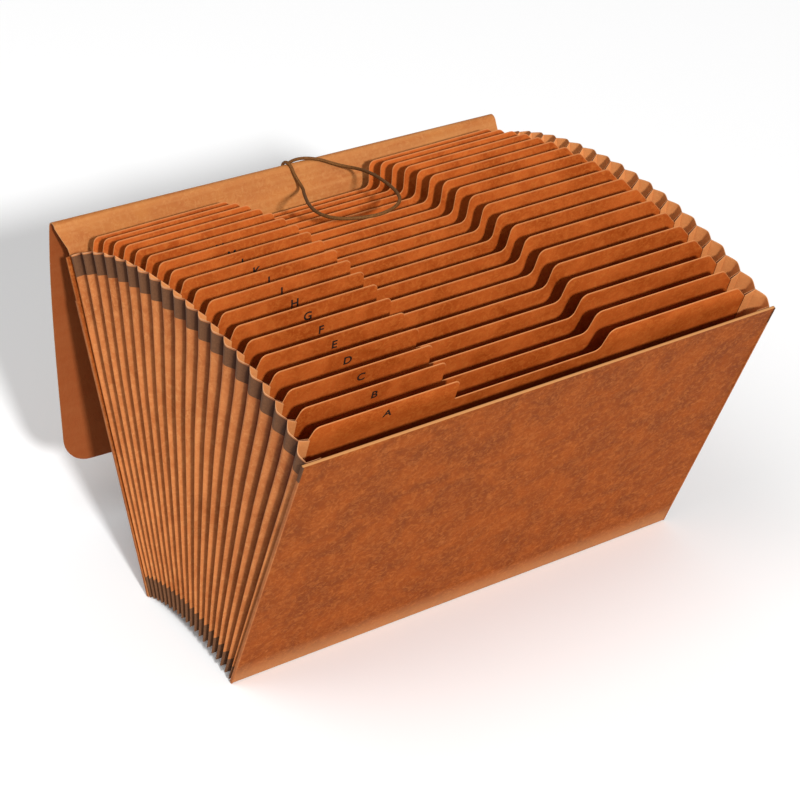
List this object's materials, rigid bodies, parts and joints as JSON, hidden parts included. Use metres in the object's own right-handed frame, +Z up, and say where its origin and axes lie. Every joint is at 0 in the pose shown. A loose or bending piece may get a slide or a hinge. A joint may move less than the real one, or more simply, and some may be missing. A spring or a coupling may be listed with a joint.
{
  "type": "accordion file folder",
  "caption": "Expanding file of stiff paper stock, open as a fan, with indexed dividers, pleated gussets, a fold-over flap and an elastic loop.",
  "frame": {"origin": "on the table, under the middle of the open fan", "axes": "+X to the right along the covers, -Y to the front cover, +Z up"},
  "size_m": [0.381, 0.3461, 0.2795],
  "materials": {
    "cover_board": "mottled matte pressed board",
    "divider_sheet": "mottled matte heavy paper",
    "gusset_paper": "matte folded paper",
    "flap_sheet": "mottled matte pressed board",
    "elastic_cord": "braided elastic"
  },
  "bodies": {
    "front_cover": {"front_cover": "cover_board"},
    "divider_01": {"divider_01": "divider_sheet", "gusset_01": "gusset_paper"},
    "divider_02": {"divider_02": "divider_sheet", "gusset_02": "gusset_paper"},
    "divider_03": {"divider_03": "divider_sheet", "gusset_03": "gusset_paper"},
    "divider_04": {"divider_04": "divider_sheet", "gusset_04": "gusset_paper"},
    "divider_05": {"divider_05": "divider_sheet", "gusset_05": "gusset_paper"},
    "divider_06": {"divider_06": "divider_sheet", "gusset_06": "gusset_paper"},
    "divider_07": {"divider_07": "divider_sheet", "gusset_07": "gusset_paper"},
    "divider_08": {"divider_08": "divider_sheet", "gusset_08": "gusset_paper"},
    "divider_09": {"divider_09": "divider_sheet", "gusset_09": "gusset_paper"},
    "divider_10": {"divider_10": "divider_sheet", "gusset_10": "gusset_paper", "gusset_11": "gusset_paper"},
    "divider_11": {"divider_11": "divider_sheet", "gusset_12": "gusset_paper"},
    "divider_12": {"divider_12": "divider_sheet", "gusset_13": "gusset_paper"},
    "divider_13": {"divider_13": "divider_sheet", "gusset_14": "gusset_paper"},
    "divider_14": {"divider_14": "divider_sheet", "gusset_15": "gusset_paper"},
    "divider_15": {"divider_15": "divider_sheet", "gusset_16": "gusset_paper"},
    "divider_16": {"divider_16": "divider_sheet", "gusset_17": "gusset_paper"},
    "divider_17": {"divider_17": "divider_sheet", "gusset_18": "gusset_paper"},
    "divider_18": {"divider_18": "divider_sheet", "gusset_19": "gusset_paper"},
    "divider_19": {"divider_19": "divider_sheet", "gusset_20": "gusset_paper"},
    "back_cover": {"back_cover": "cover_board", "flap_riser": "flap_sheet", "flap_bend": "flap_sheet", "elastic_loop": "elastic_cord", "elastic_knot": "elastic_cord"},
    "flap": {"flap_panel": "flap_sheet"}
  },
  "joints": [
    {"name": "pocket_01_close", "type": "hinge", "parent": "divider_01", "child": "front_cover", "pos_m": [0, -0.02038, -0.08891], "axis": [-1, 0, 0], "range_deg": [0, 2.35], "deforming": ["gusset_01"]},
    {"name": "pocket_02_close", "type": "hinge", "parent": "divider_02", "child": "divider_01", "pos_m": [0, -0.01583, -0.09499], "axis": [-1, 0, 0], "range_deg": [0, 2.35], "deforming": ["gusset_02"]},
    {"name": "pocket_03_close", "type": "hinge", "parent": "divider_03", "child": "divider_02", "pos_m": [0, -0.01403, -0.09438], "axis": [-1, 0, 0], "range_deg": [0, 2.35], "deforming": ["gusset_03"]},
    {"name": "pocket_04_close", "type": "hinge", "parent": "divider_04", "child": "divider_03", "pos_m": [0, -0.01221, -0.09384], "axis": [-1, 0, 0], "range_deg": [0, 2.35], "deforming": ["gusset_04"]},
    {"name": "pocket_05_close", "type": "hinge", "parent": "divider_05", "child": "divider_04", "pos_m": [0, -0.01036, -0.09338], "axis": [-1, 0, 0], "range_deg": [0, 2.35], "deforming": ["gusset_05"]},
    {"name": "pocket_06_close", "type": "hinge", "parent": "divider_06", "child": "divider_05", "pos_m": [0, -0.0085, -0.09299], "axis": [-1, 0, 0], "range_deg": [0, 2.35], "deforming": ["gusset_06"]},
    {"name": "pocket_07_close", "type": "hinge", "parent": "divider_07", "child": "divider_06", "pos_m": [0, -0.00663, -0.09269], "axis": [-1, 0, 0], "range_deg": [0, 2.35], "deforming": ["gusset_07"]},
    {"name": "pocket_08_close", "type": "hinge", "parent": "divider_08", "child": "divider_07", "pos_m": [0, -0.00474, -0.09245], "axis": [-1, 0, 0], "range_deg": [0, 2.35], "deforming": ["gusset_08"]},
    {"name": "pocket_09_close", "type": "hinge", "parent": "divider_09", "child": "divider_08", "pos_m": [0, -0.00285, -0.0923], "axis": [-1, 0, 0], "range_deg": [0, 2.35], "deforming": ["gusset_09"]},
    {"name": "pocket_10_close", "type": "hinge", "parent": "divider_10", "child": "divider_09", "pos_m": [0, -0.00095, -0.09222], "axis": [-1, 0, 0], "range_deg": [0, 2.35], "deforming": ["gusset_10"]},
    {"name": "pocket_11_close", "type": "hinge", "parent": "divider_10", "child": "divider_11", "pos_m": [0, 0.00095, -0.09222], "axis": [1, 0, 0], "range_deg": [0, 2.35], "deforming": ["gusset_11"]},
    {"name": "pocket_12_close", "type": "hinge", "parent": "divider_11", "child": "divider_12", "pos_m": [0, 0.00285, -0.0923], "axis": [1, 0, 0], "range_deg": [0, 2.35], "deforming": ["gusset_12"]},
    {"name": "pocket_13_close", "type": "hinge", "parent": "divider_12", "child": "divider_13", "pos_m": [0, 0.00474, -0.09245], "axis": [1, 0, 0], "range_deg": [0, 2.35], "deforming": ["gusset_13"]},
    {"name": "pocket_14_close", "type": "hinge", "parent": "divider_13", "child": "divider_14", "pos_m": [0, 0.00663, -0.09269], "axis": [1, 0, 0], "range_deg": [0, 2.35], "deforming": ["gusset_14"]},
    {"name": "pocket_15_close", "type": "hinge", "parent": "divider_14", "child": "divider_15", "pos_m": [0, 0.0085, -0.09299], "axis": [1, 0, 0], "range_deg": [0, 2.35], "deforming": ["gusset_15"]},
    {"name": "pocket_16_close", "type": "hinge", "parent": "divider_15", "child": "divider_16", "pos_m": [0, 0.01036, -0.09338], "axis": [1, 0, 0], "range_deg": [0, 2.35], "deforming": ["gusset_16"]},
    {"name": "pocket_17_close", "type": "hinge", "parent": "divider_16", "child": "divider_17", "pos_m": [0, 0.01221, -0.09384], "axis": [1, 0, 0], "range_deg": [0, 2.35], "deforming": ["gusset_17"]},
    {"name": "pocket_18_close", "type": "hinge", "parent": "divider_17", "child": "divider_18", "pos_m": [0, 0.01403, -0.09438], "axis": [1, 0, 0], "range_deg": [0, 2.35], "deforming": ["gusset_18"]},
    {"name": "pocket_19_close", "type": "hinge", "parent": "divider_18", "child": "divider_19", "pos_m": [0, 0.01583, -0.09499], "axis": [1, 0, 0], "range_deg": [0, 2.35], "deforming": ["gusset_19"]},
    {"name": "pocket_20_close", "type": "hinge", "parent": "divider_19", "child": "back_cover", "pos_m": [0, 0.02038, -0.08891], "axis": [1, 0, 0], "range_deg": [0, 2.35], "deforming": ["gusset_20"]},
    {"name": "flap_fold", "type": "hinge", "parent": "back_cover", "child": "flap", "pos_m": [0, 0.17477, 0.24836], "axis": [1, 0, 0], "range_deg": [0, 230], "deforming": ["flap_bend"]}
  ],
  "couplings": [
    {"joint": "pocket_01_close", "follows": "pocket_11_close", "ratio": 1},
    {"joint": "pocket_02_close", "follows": "pocket_11_close", "ratio": 1},
    {"joint": "pocket_03_close", "follows": "pocket_11_close", "ratio": 1},
    {"joint": "pocket_04_close", "follows": "pocket_11_close", "ratio": 1},
    {"joint": "pocket_05_close", "follows": "pocket_11_close", "ratio": 1},
    {"joint": "pocket_06_close", "follows": "pocket_11_close", "ratio": 1},
    {"joint": "pocket_07_close", "follows": "pocket_11_close", "ratio": 1},
    {"joint": "pocket_08_close", "follows": "pocket_11_close", "ratio": 1},
    {"joint": "pocket_09_close", "follows": "pocket_11_close", "ratio": 1},
    {"joint": "pocket_10_close", "follows": "pocket_11_close", "ratio": 1},
    {"joint": "pocket_12_close", "follows": "pocket_11_close", "ratio": 1},
    {"joint": "pocket_13_close", "follows": "pocket_11_close", "ratio": 1},
    {"joint": "pocket_14_close", "follows": "pocket_11_close", "ratio": 1},
    {"joint": "pocket_15_close", "follows": "pocket_11_close", "ratio": 1},
    {"joint": "pocket_16_close", "follows": "pocket_11_close", "ratio": 1},
    {"joint": "pocket_17_close", "follows": "pocket_11_close", "ratio": 1},
    {"joint": "pocket_18_close", "follows": "pocket_11_close", "ratio": 1},
    {"joint": "pocket_19_close", "follows": "pocket_11_close", "ratio": 1},
    {"joint": "pocket_20_close", "follows": "pocket_11_close", "ratio": 1}
  ]
}
